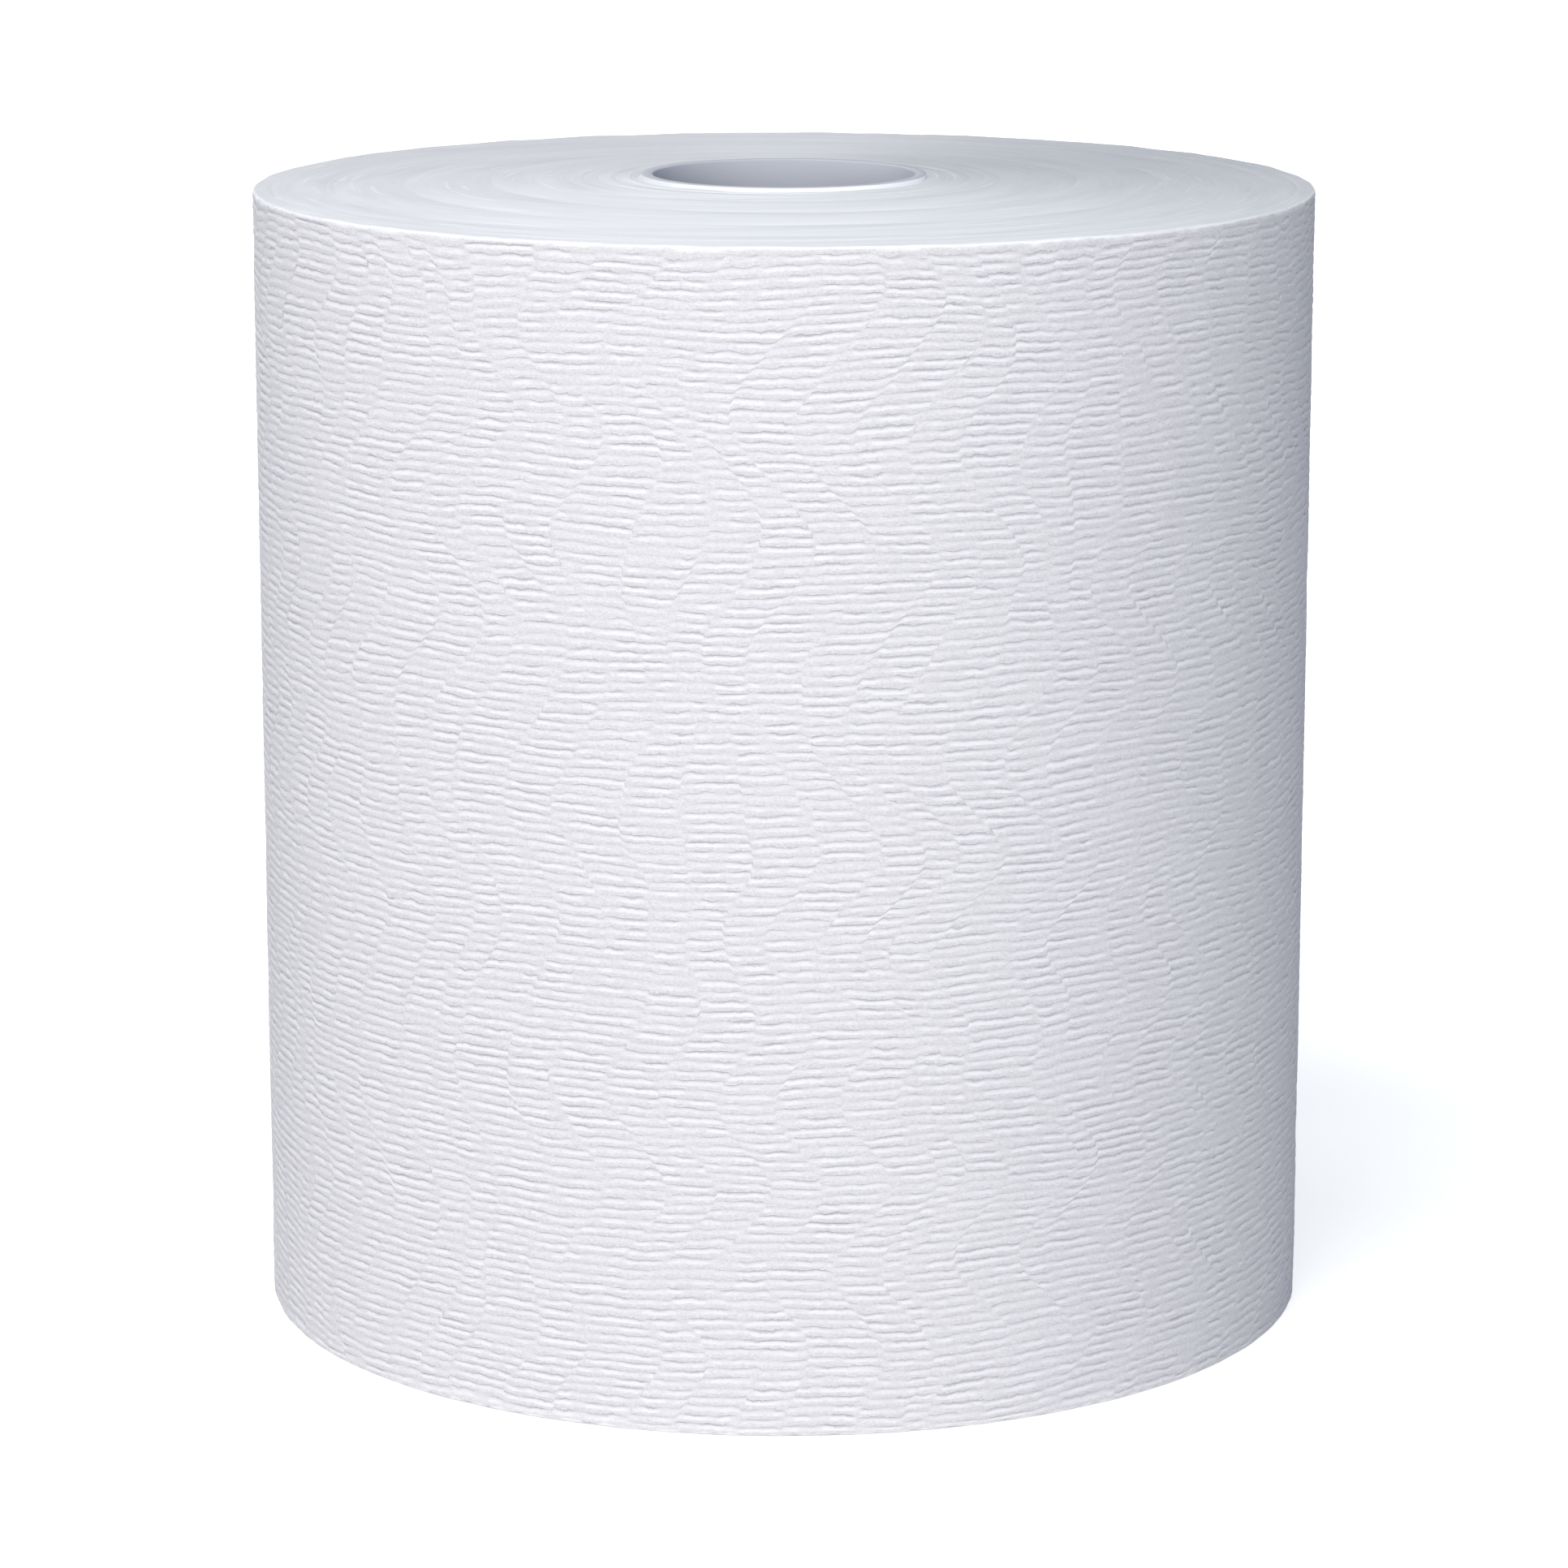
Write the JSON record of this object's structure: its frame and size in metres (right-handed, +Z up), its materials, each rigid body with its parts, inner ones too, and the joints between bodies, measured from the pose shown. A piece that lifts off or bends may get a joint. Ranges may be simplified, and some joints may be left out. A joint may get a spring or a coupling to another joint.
{
  "type": "paper towel roll",
  "caption": "Wide roll of white creped paper towel, wound hard on a paperboard core tube whose bore turns on a dispenser's hubs. It stands on its end.",
  "frame": {"origin": "on the roll's axis, level with the land that the roll stands on", "axes": "+Z up along the roll's axis; the cut edge of the towel is at the back, on the +Y side; -Y is the front"},
  "size_m": [0.1899, 0.1899, 0.2052],
  "materials": {
    "core_paperboard": "matt grey paperboard, spirally wound",
    "towel_paper": "matt white towel paper with moulded ridges across the web"
  },
  "bodies": {
    "root": {"core_tube": "core_paperboard", "towel_web": "towel_paper"}
  },
  "joints": []
}
